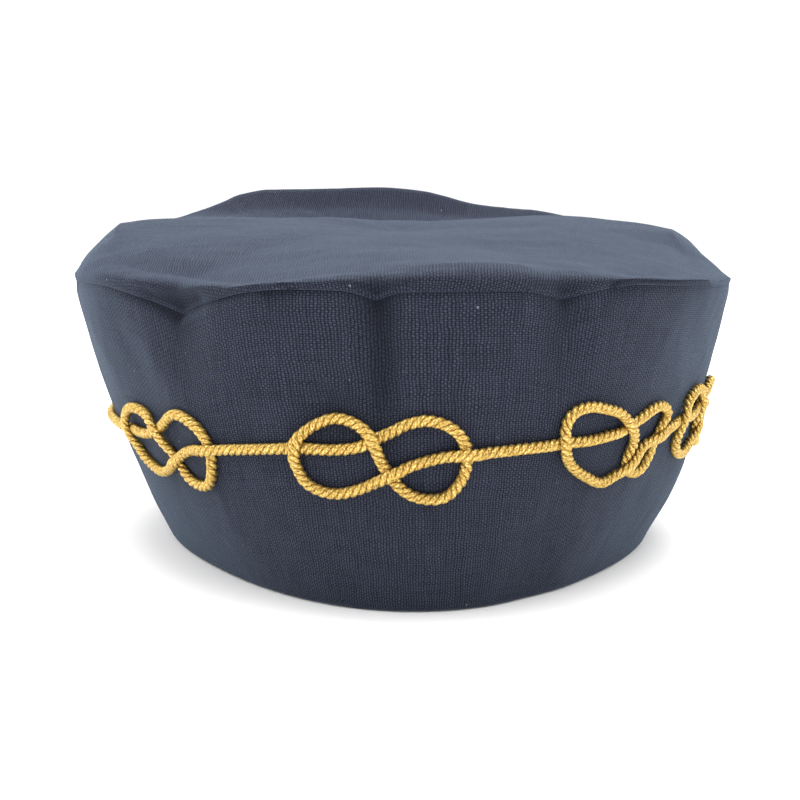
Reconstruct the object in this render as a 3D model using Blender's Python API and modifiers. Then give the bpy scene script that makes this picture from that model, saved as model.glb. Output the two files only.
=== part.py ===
"""A soft round ceremonial cap, in metres, +Z up.

A flared cloth side wall stands on its oval opening. A round cloth tip is seamed to the wall's top edge,
rolls over it, and puffs up towards the back. One gold cord is laid round the wall in a chain of love knots.

The origin is on the surface that the cap stands on, under the middle of the seam. The front is at -Y.
Angles are in degrees round the cap, from the front towards +X.
"""
import math

import bpy
from mathutils import Vector
from mathutils.bvhtree import BVHTree

# The opening, measured inside the wall
OPENING_WIDTH = 0.1755
OPENING_LENGTH = 0.197

# The side wall
SEAM_DIAMETER = 0.233
SEAM_HEIGHT = 0.092
WALL_THICKNESS = 0.0022
WALL_BULGE = 0.003
WALL_LEAN = 0.0035
FOOT_POINT = 0.0055
DENT_DEPTH = 0.004
PUCKER_DROP = 0.0055
PUCKER_DEPTH = 0.0018

# The tip, whose heights are measured from the seam
TIP_THICKNESS = 0.0016
TIP_PUFF = 0.038
TIP_ROLL = 0.022
TIP_OVERHANG = 0.0017
TIP_EDGE = 0.0015

# The gold cord
CORD_DIAMETER = 0.0033
CORD_HEIGHT = 0.048
KNOT_WIDTH = 0.046
KNOT_HEIGHT = 0.0218
CROSSING_REACH = 0.0088

# The gaps between pieces that touch. The cord's is wider, because it runs over the edges between facets.
SEAT_GAP = 0.0003
CORD_GAP = 0.0004

# How finely the solids are faceted
COLUMNS = 84
WALL_ROWS = 7
TIP_RINGS = 6
ROLL_RINGS = 4
CORD_STEP = 0.0038
CORD_BEVEL_RESOLUTION = 1
SETTLING_PASSES = 3

CLOTH_COLOUR = (0.012, 0.015, 0.030, 1.0)
GOLD_COLOUR = (0.72, 0.42, 0.09, 1.0)

# Where the tip's edge is tucked in the seam. drop is a share of PUCKER_DROP, and reach is in degrees.
PUCKERS = [
    dict(angle=-70.0, drop=0.45, reach=12.0),
    dict(angle=-33.4, drop=1.42, reach=19.3),
    dict(angle=-3.0, drop=0.52, reach=5.0),
    dict(angle=22.5, drop=0.50, reach=7.4),
    dict(angle=58.0, drop=0.15, reach=12.0),
    dict(angle=84.0, drop=0.50, reach=11.0),
    dict(angle=112.0, drop=0.60, reach=10.0),
    dict(angle=141.0, drop=0.70, reach=11.0),
    dict(angle=172.0, drop=0.45, reach=10.0),
    dict(angle=203.0, drop=0.65, reach=12.0),
    dict(angle=231.0, drop=0.80, reach=10.0),
    dict(angle=262.0, drop=0.50, reach=11.0),
]

# How far the seam runs above SEAM_HEIGHT between the puckers, as a share of PUCKER_DROP.
SEAM_LEVELS = [
    dict(angle=0, level=0.12),
    dict(angle=14, level=0.16),
    dict(angle=26, level=0.17),
    dict(angle=33, level=0.44),
    dict(angle=43, level=0.32),
    dict(angle=60, level=0.22),
    dict(angle=85, level=0.00),
    dict(angle=110, level=0.00),
    dict(angle=200, level=0.00),
    dict(angle=280, level=0.00),
    dict(angle=300, level=-0.06),
    dict(angle=320, level=-0.05),
    dict(angle=334, level=0.03),
    dict(angle=346, level=0.16),
]

# Hollows and swellings of the wall. rise is a share of the wall's height, depth a share of DENT_DEPTH,
# inwards, across is half the width in degrees, and along half the height as a share of the wall's.
WALL_DENTS = [
    dict(angle=-3.2, rise=0.86, depth=0.85, across=5.0, along=0.34),
    dict(angle=-9.5, rise=0.66, depth=0.60, across=9.0, along=0.17),
    dict(angle=-18.0, rise=0.84, depth=-0.30, across=12.0, along=0.26),
    dict(angle=8.5, rise=0.76, depth=-0.45, across=10.0, along=0.40),
    dict(angle=-33.0, rise=0.90, depth=0.45, across=8.0, along=0.26),
    dict(angle=22.5, rise=0.88, depth=0.40, across=7.0, along=0.28),
    dict(angle=24.0, rise=0.16, depth=0.35, across=10.0, along=0.30),
    dict(angle=58.0, rise=0.78, depth=0.35, across=15.0, along=0.30),
    dict(angle=74.0, rise=0.28, depth=-0.65, across=24.0, along=0.30),
    dict(angle=99.0, rise=0.66, depth=0.90, across=16.0, along=0.36),
    dict(angle=128.0, rise=0.80, depth=-0.40, across=14.0, along=0.30),
    dict(angle=150.0, rise=0.70, depth=0.90, across=12.0, along=0.38),
    dict(angle=186.0, rise=0.74, depth=1.00, across=14.0, along=0.34),
    dict(angle=214.0, rise=0.60, depth=-0.45, across=14.0, along=0.40),
    dict(angle=238.0, rise=0.78, depth=0.95, across=12.0, along=0.36),
    dict(angle=272.0, rise=0.66, depth=0.75, across=16.0, along=0.40),
    dict(angle=305.0, rise=0.80, depth=-0.30, across=12.0, along=0.30),
]

# Sections of the tip. TIP_STATIONS says how far out each height holds, from the middle to the shoulder, and
# the heights are shares of TIP_PUFF above the seam. roll is the width of the edge that rolls down to the
# seam, as a share of TIP_ROLL, and slope is 0 where that edge is round and 1 where it is a straight slope.
TIP_MIDDLE = 0.46
TIP_STATIONS = (0.0, 0.34, 0.62, 0.90, 1.0)
TIP_SECTIONS = [
    dict(angle=0, inner=0.40, middle=0.31, outer=0.20, shoulder=0.165, roll=0.26, slope=0.05),
    dict(angle=12, inner=0.40, middle=0.31, outer=0.22, shoulder=0.205, roll=0.26, slope=0.00),
    dict(angle=24, inner=0.41, middle=0.32, outer=0.21, shoulder=0.168, roll=0.26, slope=0.05),
    dict(angle=37, inner=0.42, middle=0.34, outer=0.18, shoulder=0.105, roll=0.20, slope=0.30),
    dict(angle=56, inner=0.45, middle=0.40, outer=0.22, shoulder=0.110, roll=0.30, slope=0.50),
    dict(angle=70, inner=0.47, middle=0.47, outer=0.34, shoulder=0.220, roll=0.62, slope=0.90),
    dict(angle=82, inner=0.50, middle=0.53, outer=0.49, shoulder=0.470, roll=0.84, slope=0.78),
    dict(angle=96, inner=0.54, middle=0.58, outer=0.55, shoulder=0.510, roll=0.66, slope=0.45),
    dict(angle=124, inner=0.57, middle=0.62, outer=0.60, shoulder=0.565, roll=0.70, slope=0.30),
    dict(angle=140, inner=0.57, middle=0.54, outer=0.60, shoulder=0.720, roll=0.80, slope=0.20),
    dict(angle=156, inner=0.56, middle=0.46, outer=0.62, shoulder=0.790, roll=0.94, slope=0.10),
    dict(angle=174, inner=0.56, middle=0.42, outer=0.69, shoulder=0.950, roll=1.00, slope=0.05),
    dict(angle=195, inner=0.56, middle=0.41, outer=0.72, shoulder=0.990, roll=1.00, slope=0.05),
    dict(angle=212, inner=0.57, middle=0.44, outer=0.70, shoulder=0.950, roll=0.94, slope=0.10),
    dict(angle=226, inner=0.58, middle=0.47, outer=0.67, shoulder=0.872, roll=0.82, slope=0.20),
    dict(angle=238, inner=0.58, middle=0.53, outer=0.60, shoulder=0.690, roll=0.72, slope=0.35),
    dict(angle=252, inner=0.56, middle=0.57, outer=0.56, shoulder=0.525, roll=0.70, slope=0.60),
    dict(angle=274, inner=0.52, middle=0.55, outer=0.53, shoulder=0.490, roll=0.70, slope=0.88),
    dict(angle=288, inner=0.49, middle=0.49, outer=0.46, shoulder=0.430, roll=0.64, slope=0.80),
    dict(angle=300, inner=0.46, middle=0.43, outer=0.35, shoulder=0.260, roll=0.50, slope=0.50),
    dict(angle=313, inner=0.44, middle=0.38, outer=0.26, shoulder=0.130, roll=0.34, slope=0.30),
    dict(angle=324, inner=0.42, middle=0.34, outer=0.20, shoulder=0.095, roll=0.34, slope=0.20),
    dict(angle=331, inner=0.41, middle=0.32, outer=0.17, shoulder=0.085, roll=0.30, slope=0.20),
    dict(angle=338, inner=0.40, middle=0.31, outer=0.15, shoulder=0.068, roll=0.24, slope=0.35),
    dict(angle=349, inner=0.40, middle=0.31, outer=0.17, shoulder=0.105, roll=0.26, slope=0.20),
]

# The middle line of one love knot, as shares of KNOT_WIDTH across from its middle and of KNOT_HEIGHT up from
# the straight cord: across and up in a neat knot, loose_across and loose_up in a loosely laid one. over is 1
# where the cord crosses over itself.
LOVE_KNOT = [
    dict(across=-0.500, up=0.020, loose_across=-0.565, loose_up=0.105, over=0),
    dict(across=-0.400, up=0.030, loose_across=-0.440, loose_up=0.112, over=0),
    dict(across=-0.250, up=0.040, loose_across=-0.280, loose_up=0.115, over=0),
    dict(across=-0.110, up=0.090, loose_across=-0.130, loose_up=0.145, over=0),
    dict(across=-0.010, up=0.190, loose_across=0.005, loose_up=0.185, over=0),
    dict(across=0.100, up=0.310, loose_across=0.120, loose_up=0.300, over=0),
    dict(across=0.190, up=0.430, loose_across=0.200, loose_up=0.385, over=0),
    dict(across=0.280, up=0.490, loose_across=0.290, loose_up=0.434, over=0),
    dict(across=0.380, up=0.450, loose_across=0.380, loose_up=0.405, over=0),
    dict(across=0.465, up=0.320, loose_across=0.445, loose_up=0.300, over=0),
    dict(across=0.510, up=0.130, loose_across=0.425, loose_up=0.130, over=0),
    dict(across=0.516, up=-0.090, loose_across=0.390, loose_up=-0.090, over=0),
    dict(across=0.485, up=-0.300, loose_across=0.355, loose_up=-0.280, over=0),
    dict(across=0.410, up=-0.490, loose_across=0.310, loose_up=-0.455, over=0),
    dict(across=0.310, up=-0.535, loose_across=0.225, loose_up=-0.500, over=0),
    dict(across=0.200, up=-0.480, loose_across=0.140, loose_up=-0.420, over=0),
    dict(across=0.110, up=-0.340, loose_across=0.100, loose_up=-0.265, over=0),
    dict(across=0.040, up=-0.120, loose_across=0.105, loose_up=-0.020, over=0),
    dict(across=-0.020, up=0.170, loose_across=0.035, loose_up=0.190, over=1),
    dict(across=-0.060, up=0.290, loose_across=-0.020, loose_up=0.315, over=0),
    dict(across=-0.140, up=0.390, loose_across=-0.100, loose_up=0.435, over=0),
    dict(across=-0.240, up=0.410, loose_across=-0.220, loose_up=0.515, over=0),
    dict(across=-0.350, up=0.330, loose_across=-0.370, loose_up=0.570, over=0),
    dict(across=-0.440, up=0.210, loose_across=-0.480, loose_up=0.510, over=0),
    dict(across=-0.478, up=0.120, loose_across=-0.530, loose_up=0.340, over=0),
    dict(across=-0.488, up=0.040, loose_across=-0.525, loose_up=0.110, over=1),
    dict(across=-0.495, up=-0.150, loose_across=-0.470, loose_up=-0.115, over=0),
    dict(across=-0.453, up=-0.370, loose_across=-0.400, loose_up=-0.260, over=0),
    dict(across=-0.360, up=-0.470, loose_across=-0.280, loose_up=-0.405, over=0),
    dict(across=-0.240, up=-0.490, loose_across=-0.120, loose_up=-0.535, over=0),
    dict(across=-0.090, up=-0.400, loose_across=-0.005, loose_up=-0.470, over=0),
    dict(across=0.070, up=-0.220, loose_across=0.120, loose_up=-0.345, over=1),
    dict(across=0.250, up=-0.050, loose_across=0.235, loose_up=-0.120, over=0),
    dict(across=0.400, up=0.045, loose_across=0.330, loose_up=-0.050, over=0),
    dict(across=0.512, up=0.075, loose_across=0.400, loose_up=-0.010, over=1),
    dict(across=0.600, up=0.080, loose_across=0.520, loose_up=0.046, over=0),
]

# Each knot's place round the cap. wide is a share of KNOT_WIDTH, and left and right are its two loops'
# shares of KNOT_HEIGHT. raised is a share of KNOT_HEIGHT too, and lean is in degrees. loose is 0 in a neat
# knot and 1 in a loosely laid one.
KNOTS = [
    dict(angle=-43.9, wide=1.03, left=1.00, right=1.00, raised=-0.145, lean=0.8, loose=0.25),
    dict(angle=-3.7, wide=1.00, left=1.07, right=1.00, raised=0.02, lean=-1.3, loose=0.0),
    dict(angle=37.5, wide=1.02, left=1.00, right=1.01, raised=0.00, lean=0.0, loose=1.0),
    dict(angle=67.5, wide=0.96, left=1.08, right=1.00, raised=0.04, lean=-1.0, loose=0.2),
    dict(angle=107.0, wide=1.00, left=0.97, right=1.04, raised=-0.02, lean=-1.5, loose=0.1),
    dict(angle=146.0, wide=1.02, left=1.05, right=0.98, raised=0.03, lean=1.0, loose=0.4),
    dict(angle=185.0, wide=0.98, left=1.00, right=1.03, raised=-0.03, lean=0.0, loose=0.0),
    dict(angle=224.0, wide=1.01, left=1.03, right=0.97, raised=0.02, lean=-1.0, loose=0.6),
    dict(angle=262.0, wide=1.00, left=0.99, right=1.02, raised=-0.16, lean=-1.5, loose=0.2),
]


def turn_between(angle, other):
    """The signed turn from one angle to another, from -180 to 180 degrees."""
    return (other - angle + 180.0) % 360.0 - 180.0


def swell(distance, reach):
    """1 in the middle of a fold, falling smoothly to 0 at its reach."""
    if abs(distance) >= reach:
        return 0.0
    return math.cos(0.5 * math.pi * distance / reach) ** 2


def smooth_through(values, places, at):
    """A smooth curve's value at a place, through values that each hold at a rising list of places."""
    last = len(places) - 1
    span = max(i for i in range(last) if places[i] <= at or i == 0)
    width = places[span + 1] - places[span]

    def slope(i):
        before, after = max(i - 1, 0), min(i + 1, last)
        return (values[after] - values[before]) / (places[after] - places[before])

    t = (at - places[span]) / width
    return (
        (2 * t**3 - 3 * t**2 + 1) * values[span]
        + (t**3 - 2 * t**2 + t) * width * slope(span)
        + (3 * t**2 - 2 * t**3) * values[span + 1]
        + (t**3 - t**2) * width * slope(span + 1)
    )


def round_the_cap(rows, column, angle):
    """A column of a table of sections, read smoothly at any angle round the cap."""
    ordered = sorted(rows, key=lambda row: row["angle"])
    places = [row["angle"] for row in ordered]
    values = [row[column] for row in ordered]
    places = [p - 360.0 for p in places[-2:]] + places + [p + 360.0 for p in places[:2]]
    values = values[-2:] + values + values[:2]
    return smooth_through(values, places, angle % 360.0)


def puckered(angle):
    """How far the seam is down at an angle, as a share of PUCKER_DROP: its puckers, less its level."""
    down = sum(
        row["drop"] * (1.0 - abs(turn) / row["reach"]) ** 2
        for row in PUCKERS
        if abs(turn := turn_between(row["angle"], angle)) < row["reach"]
    )
    return down - round_the_cap(SEAM_LEVELS, "level", angle)


def drawn(angle):
    """How much the top's edge is drawn down above a pucker: a little, and more widely than the seam."""
    return sum(
        0.15 * row["drop"] * swell(turn_between(row["angle"], angle), 1.3 * row["reach"])
        for row in PUCKERS
    )


def seam_height(angle):
    return SEAM_HEIGHT - PUCKER_DROP * puckered(angle)


def wall_dent(angle, rise):
    """How far the wall is pushed in at a place."""
    dent = 0.0
    for row in WALL_DENTS:
        beside = swell(turn_between(row["angle"], angle), row["across"])
        dent += row["depth"] * beside * swell(rise - row["rise"], row["along"])
    return DENT_DEPTH * dent + PUCKER_DEPTH * puckered(angle) * rise**4


def wall_point(angle, rise, inset=0.0):
    """A point of the wall, from its foot at rise 0 to the seam at rise 1, set in by a thickness."""
    bulge = WALL_BULGE * 4.0 * rise * (1.0 - rise)
    half_width = OPENING_WIDTH / 2 + WALL_THICKNESS
    half_length = OPENING_LENGTH / 2 + WALL_THICKNESS
    half_seam = SEAM_DIAMETER / 2
    turn = math.radians(angle)
    pointed = FOOT_POINT * (1.0 - rise) * (1.0 - math.cos(4.0 * turn)) / 2
    pushed = bulge - pointed - wall_dent(angle, rise) - inset
    return Vector((
        (half_width + (half_seam - half_width) * rise + pushed) * math.sin(turn) + WALL_LEAN * (1.0 - rise),
        -(half_length + (half_seam - half_length) * rise + pushed) * math.cos(turn),
        rise * seam_height(angle),
    ))


def tip_point(angle, out):
    """A point of the tip's outside. out is 0 in the middle, 1 at the shoulder and 2 at the upright edge."""
    seam = wall_point(angle, 1.0)
    reach = math.hypot(seam.x, seam.y)
    roll = TIP_ROLL * round_the_cap(TIP_SECTIONS, "roll", angle)
    if out <= 1.0:
        columns = ("inner", "middle", "outer", "shoulder")
        heights = [TIP_MIDDLE] + [round_the_cap(TIP_SECTIONS, c, angle) for c in columns]
        height = TIP_PUFF * smooth_through(heights, TIP_STATIONS, out)
        radius = (reach - roll) * out
    else:
        slope = round_the_cap(TIP_SECTIONS, "slope", angle)
        bend = 0.5 * math.pi * (out - 1.0)
        down = (1.0 - slope) * math.cos(bend) + slope * (2.0 - out)
        across = (1.0 - slope) * math.sin(bend) + slope * (out - 1.0)
        height = TIP_EDGE + (TIP_PUFF * round_the_cap(TIP_SECTIONS, "shoulder", angle) - TIP_EDGE) * down
        radius = reach - roll + roll * across + (1.0 - slope) * TIP_OVERHANG * math.sin(2.0 * bend)
    low = max(out - 1.0, 0.0) ** 1.5
    tucked = -PUCKER_DROP * (puckered(angle) * low + drawn(angle) * (1.0 - low) * min(out, 1.0) ** 3)
    above = SEAM_HEIGHT + SEAT_GAP + height + tucked
    turn = math.radians(angle)
    return Vector((radius * math.sin(turn), -radius * math.cos(turn), above))


def cloth_material():
    return principled("navy_cloth", CLOTH_COLOUR, roughness=0.9, metallic=0.0)


def gold_material():
    return principled("gold_thread", GOLD_COLOUR, roughness=0.38, metallic=0.75)


def principled(name, colour, roughness, metallic):
    material = bpy.data.materials.new(name)
    material.use_nodes = True
    shader = material.node_tree.nodes["Principled BSDF"]
    shader.inputs["Base Color"].default_value = colour
    shader.inputs["Roughness"].default_value = roughness
    shader.inputs["Metallic"].default_value = metallic
    return material


def put_in(collection, name, data, material):
    data.materials.append(material)
    placed = bpy.data.objects.new(name, data)
    collection.objects.link(placed)
    return placed


def skin(name, rings, joined=False, middle=None):
    """A mesh through rings of points. The last joins the first, or a point closes the first's middle."""
    count = len(rings[0])
    points = [p for ring in rings for p in ring]
    faces = []
    for i in range(len(rings) if joined else len(rings) - 1):
        low, high = i * count, (i + 1) % len(rings) * count
        for j in range(count):
            k = (j + 1) % count
            faces.append((low + j, low + k, high + k, high + j))
    if middle is not None:
        points.append(middle)
        faces += [(len(points) - 1, (j + 1) % count, j) for j in range(count)]
    mesh = bpy.data.meshes.new(name)
    mesh.from_pydata(points, [], faces)
    mesh.shade_smooth()
    mesh.set_sharp_from_angle(angle=math.radians(50))
    return mesh


def make_side_wall(collection, material):
    """A loft from the oval foot to the round seam, outside and inside, so that the foot is cut flat."""
    angles = [360.0 * i / COLUMNS for i in range(COLUMNS)]
    rises = [i / WALL_ROWS for i in range(WALL_ROWS + 1)]
    outside = [[wall_point(a, r) for a in angles] for r in rises]
    inside = [[wall_point(a, r, inset=WALL_THICKNESS) for a in angles] for r in reversed(rises)]
    return put_in(collection, "side_wall", skin("side_wall", outside + inside, joined=True), material)


def make_crown_tip(collection, material):
    """The tip's outside from its middle to the seam, thickened inwards. Its edge stands on the wall."""
    angles = [-360.0 * i / COLUMNS for i in range(COLUMNS)]
    outs = [i / TIP_RINGS for i in range(1, TIP_RINGS)]
    outs += [1.0 + i / ROLL_RINGS for i in range(ROLL_RINGS + 1)]
    rings = [[tip_point(a, o) for a in angles] for o in outs]
    rings.append([edge - Vector((0.0, 0.0, TIP_EDGE)) for edge in rings[-1]])
    tip = put_in(collection, "crown_tip", skin("crown_tip", rings, middle=tip_point(0.0, 0.0)), material)
    thick = tip.modifiers.new("cloth", "SOLIDIFY")
    thick.thickness = TIP_THICKNESS
    thick.offset = -1.0
    return tip


def cord_line():
    """The cord's middle line on a plain cylinder, and where on it the cord crosses over itself."""
    radius = (OPENING_WIDTH + OPENING_LENGTH + 2 * SEAM_DIAMETER) / 8 + WALL_THICKNESS
    line, crossings = [], []
    for knot in KNOTS:
        lean = math.radians(knot["lean"])
        loose = knot["loose"]
        for row in LOVE_KNOT:
            to_right = min(max(0.5 + row["across"] / 0.6, 0.0), 1.0)
            tall = knot["left"] + (knot["right"] - knot["left"]) * to_right
            wide = knot["wide"]
            across = (row["across"] * (1.0 - loose) + row["loose_across"] * loose) * wide * KNOT_WIDTH
            up = (row["up"] * (1.0 - loose) + row["loose_up"] * loose) * tall * KNOT_HEIGHT
            along = across * math.cos(lean) - up * math.sin(lean)
            height = across * math.sin(lean) + up * math.cos(lean) + knot["raised"] * KNOT_HEIGHT
            turn = math.radians(knot["angle"]) + along / radius
            line.append(Vector((radius * math.sin(turn), -radius * math.cos(turn), CORD_HEIGHT + height)))
            if row["over"]:
                crossings.append(len(line) - 1)
    return line, crossings


def smooth_loop(points, step):
    """Points about a step apart on a closed centripetal curve through points, and the places of those."""
    count = len(points)
    fine, given = [], []
    for i in range(count):
        a, b, c, d = (points[(i + k) % count] for k in (-1, 0, 1, 2))
        knots = [0.0]
        for start, end in ((a, b), (b, c), (c, d)):
            knots.append(knots[-1] + math.sqrt((end - start).length))
        given.append(len(fine))
        pieces = max(1, round((c - b).length / step))
        for j in range(pieces):
            t = knots[1] + (knots[2] - knots[1]) * j / pieces
            ab = a.lerp(b, (t - knots[0]) / (knots[1] - knots[0]))
            bc = b.lerp(c, (t - knots[1]) / (knots[2] - knots[1]))
            cd = c.lerp(d, (t - knots[2]) / (knots[3] - knots[2]))
            abc = ab.lerp(bc, (t - knots[0]) / (knots[2] - knots[0]))
            bcd = bc.lerp(cd, (t - knots[1]) / (knots[3] - knots[1]))
            fine.append(abc.lerp(bcd, (t - knots[1]) / (knots[2] - knots[1])))
    return fine, given


def cord_route(wall):
    """The cord's middle line, lying on the wall's facets and lifted where it crosses over itself."""
    line, crossings = cord_line()
    course, given = smooth_loop(line, CORD_STEP)
    lengths = [0.0]
    for start, end in zip(course, course[1:]):
        lengths.append(lengths[-1] + (end - start).length)
    tops = [lengths[given[i]] for i in crossings]
    corners = [v.co for v in wall.data.vertices]
    facets = BVHTree.FromPolygons(corners, [list(face.vertices) for face in wall.data.polygons])
    stand = CORD_DIAMETER / 2 + CORD_GAP
    route = []
    for place, length in zip(course, lengths):
        angle = math.degrees(math.atan2(place.x, -place.y))
        cloth = wall_point(angle, place.z / seam_height(angle))
        found, outward, _, _ = facets.find_nearest(cloth)
        lift = max(swell(length - top, CROSSING_REACH) for top in tops) * (CORD_DIAMETER + 2 * SEAT_GAP)
        point = found + outward * (stand + lift)
        for _ in range(SETTLING_PASSES):
            found = facets.find_nearest(point)[0]
            away = point - found
            point = found + away.normalized() * max(away.length, stand)
        route.append(point)
    return route


def make_gold_cord(collection, wall, material):
    route = cord_route(wall)
    curve = bpy.data.curves.new("gold_cord", "CURVE")
    curve.dimensions = "3D"
    curve.bevel_depth = CORD_DIAMETER / 2
    curve.bevel_resolution = CORD_BEVEL_RESOLUTION
    spline = curve.splines.new("POLY")
    spline.points.add(len(route) - 1)
    for point, place in zip(spline.points, route):
        point.co = (*place, 1.0)
    spline.use_cyclic_u = True
    return put_in(collection, "gold_cord", curve, material)


def main():
    for old in list(bpy.data.objects):
        bpy.data.objects.remove(old, do_unlink=True)
    cap = bpy.data.collections.new("ceremonial_cap")
    bpy.context.scene.collection.children.link(cap)
    cloth = cloth_material()
    wall = make_side_wall(cap, cloth)
    make_crown_tip(cap, cloth)
    make_gold_cord(cap, wall, gold_material())


main()
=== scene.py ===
"""A soft round ceremonial cap with a gold cord in love knots, dressed for its picture, in metres, +Z up.

The front is at -Y. Angles are in degrees round the cap, from the front towards +X. Most formulas take whole
arrays: an angle and a rise or an out for every point of a grid at once.
"""
import math

import bpy
import numpy as np
from mathutils import Matrix, Vector


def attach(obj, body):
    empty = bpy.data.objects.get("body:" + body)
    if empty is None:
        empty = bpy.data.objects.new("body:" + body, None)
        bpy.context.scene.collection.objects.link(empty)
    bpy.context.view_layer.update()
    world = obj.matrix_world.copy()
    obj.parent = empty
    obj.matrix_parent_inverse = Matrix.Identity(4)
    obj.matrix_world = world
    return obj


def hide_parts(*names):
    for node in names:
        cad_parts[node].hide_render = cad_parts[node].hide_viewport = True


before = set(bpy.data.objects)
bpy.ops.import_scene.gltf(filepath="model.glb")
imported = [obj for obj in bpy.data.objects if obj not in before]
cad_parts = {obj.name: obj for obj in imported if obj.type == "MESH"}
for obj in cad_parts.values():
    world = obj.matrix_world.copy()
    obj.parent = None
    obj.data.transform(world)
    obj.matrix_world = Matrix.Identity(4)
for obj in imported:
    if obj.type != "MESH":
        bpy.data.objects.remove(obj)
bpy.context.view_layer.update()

# The cap's sizes, as the frame has them
OPENING_WIDTH = 0.1755
OPENING_LENGTH = 0.197
SEAM_DIAMETER = 0.233
SEAM_HEIGHT = 0.092
WALL_THICKNESS = 0.0022
WALL_BULGE = 0.003
WALL_LEAN = 0.0035
FOOT_POINT = 0.0055
DENT_DEPTH = 0.004
PUCKER_DROP = 0.0055
PUCKER_DEPTH = 0.0018
TIP_THICKNESS = 0.0016
TIP_PUFF = 0.038
TIP_ROLL = 0.022
TIP_OVERHANG = 0.0017
TIP_EDGE = 0.0015
CORD_DIAMETER = 0.0033
CORD_HEIGHT = 0.048
KNOT_WIDTH = 0.046
KNOT_HEIGHT = 0.0218

# The tuck that draws the seam line in. It is SEAM_GROOVE deep at TUCK_MIDDLE degrees and falls to a share of
# that at TUCK_REACH degrees from there. It is deeper where the seam is puckered.
SEAM_GROOVE = 0.0008
TUCK_MIDDLE = -3.0
TUCK_REACH = 50.0
TUCK_ALL_ROUND = 0.2
TUCK_PUCKERED = 3.0
TUCK_MOST_PUCKERED = 0.8
TUCK_DOWN_THE_WALL = 0.035
TUCK_UP_THE_ROLL = 0.4

# The dressed surfaces
SEAM_LIP = 0.0005
TIP_LIP = 0.0004
TALL_ROLL = 0.008
CREASE_DEPTH = 0.0006
CREASE_WIDTH = 3.6
CREASE_MOST = 0.6
CREASE_BANKS = 0.3
BANKS_BESIDE = 5.0
CREASE_LENGTH = 0.42
CLOTH_COLUMNS = 600
WALL_GRID_ROWS = 74
WALL_LINING_ROWS = 20
FOOT_TURN_ROWS = 6
LIP_ROWS = 4
TIP_TOP_RINGS = 66
TIP_ROLL_RINGS = 30
TIP_LINING_RINGS = 22
RING_STEP = 0.00001

# The rope that the cord is
STRANDS = 3
STRAND_OFFSET = 0.00083
STRAND_RADIUS = 0.00085
STRAND_PITCH = 0.0066
STRAND_STEP = 0.00046
STRAND_SIDES = 12
CORD_PRESS = 0.00015
CROSSING_REACH = 0.0075
CROSSING_LIFT = 0.0018
CROSSING_PRESS = 0.28
CORD_PIECES = 12
STRAND_UNEVEN = 0.05
STRAND_WAVES = 700
STRAND_SEED = 31
PRESSED_WIDER = 0.4

# Painted shade that darkens the cloth's colour in the folds: along the seam, within seam_reach of it, and at
# each pucker, within across degrees of it and within reach of the seam. The reaches are rises on the wall
# and outs on the tip.
WALL_SHADE = dict(seam=0.5, seam_reach=0.030, across=5.0, reach=0.13)
TIP_SHADE = dict(seam=0.08, seam_reach=0.2, across=8.0, reach=0.8)
# A pucker's painted shade is at most PUCKER_SHADE, and a hollow's is HOLLOW_SHADE times its depth, over
# HOLLOW_SHADE_WIDTH of its width.
PUCKER_SHADE = 0.7
HOLLOW_SHADE = 0.55
HOLLOW_SHADE_WIDTH = 0.7

# Small slack of the cloth: soft random heights on a lattice. depth is in metres, across and along count its
# cells, lean is how far it leans round the cap by the seam, in turns, and seed starts its numbers.
WALL_SLACKS = [
    dict(depth=0.00035, across=22, along=3, lean=0.0, seed=11),
    dict(depth=0.00018, across=60, along=6, lean=0.1, seed=12),
    dict(depth=0.00009, across=150, along=12, lean=-0.05, seed=13),
]
TIP_SLACKS = [
    dict(depth=0.00060, across=28, along=16, seed=21),
    dict(depth=0.00022, across=70, along=60, seed=22),
    dict(depth=0.00008, across=230, along=150, seed=23),
]

# Where the tip's edge is tucked in the seam. drop is a share of PUCKER_DROP, and reach is in degrees.
PUCKERS = [
    dict(angle=-70.0, drop=0.45, reach=12.0),
    dict(angle=-33.4, drop=1.42, reach=19.3),
    dict(angle=-3.0, drop=0.52, reach=5.0),
    dict(angle=22.5, drop=0.50, reach=7.4),
    dict(angle=58.0, drop=0.15, reach=12.0),
    dict(angle=84.0, drop=0.50, reach=11.0),
    dict(angle=112.0, drop=0.60, reach=10.0),
    dict(angle=141.0, drop=0.70, reach=11.0),
    dict(angle=172.0, drop=0.45, reach=10.0),
    dict(angle=203.0, drop=0.65, reach=12.0),
    dict(angle=231.0, drop=0.80, reach=10.0),
    dict(angle=262.0, drop=0.50, reach=11.0),
]

# How far the seam runs above SEAM_HEIGHT between the puckers, as a share of PUCKER_DROP.
SEAM_LEVELS = [
    dict(angle=0, level=0.12),
    dict(angle=14, level=0.16),
    dict(angle=26, level=0.17),
    dict(angle=33, level=0.44),
    dict(angle=43, level=0.32),
    dict(angle=60, level=0.22),
    dict(angle=85, level=0.00),
    dict(angle=110, level=0.00),
    dict(angle=200, level=0.00),
    dict(angle=280, level=0.00),
    dict(angle=300, level=-0.06),
    dict(angle=320, level=-0.05),
    dict(angle=334, level=0.03),
    dict(angle=346, level=0.16),
]

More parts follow.
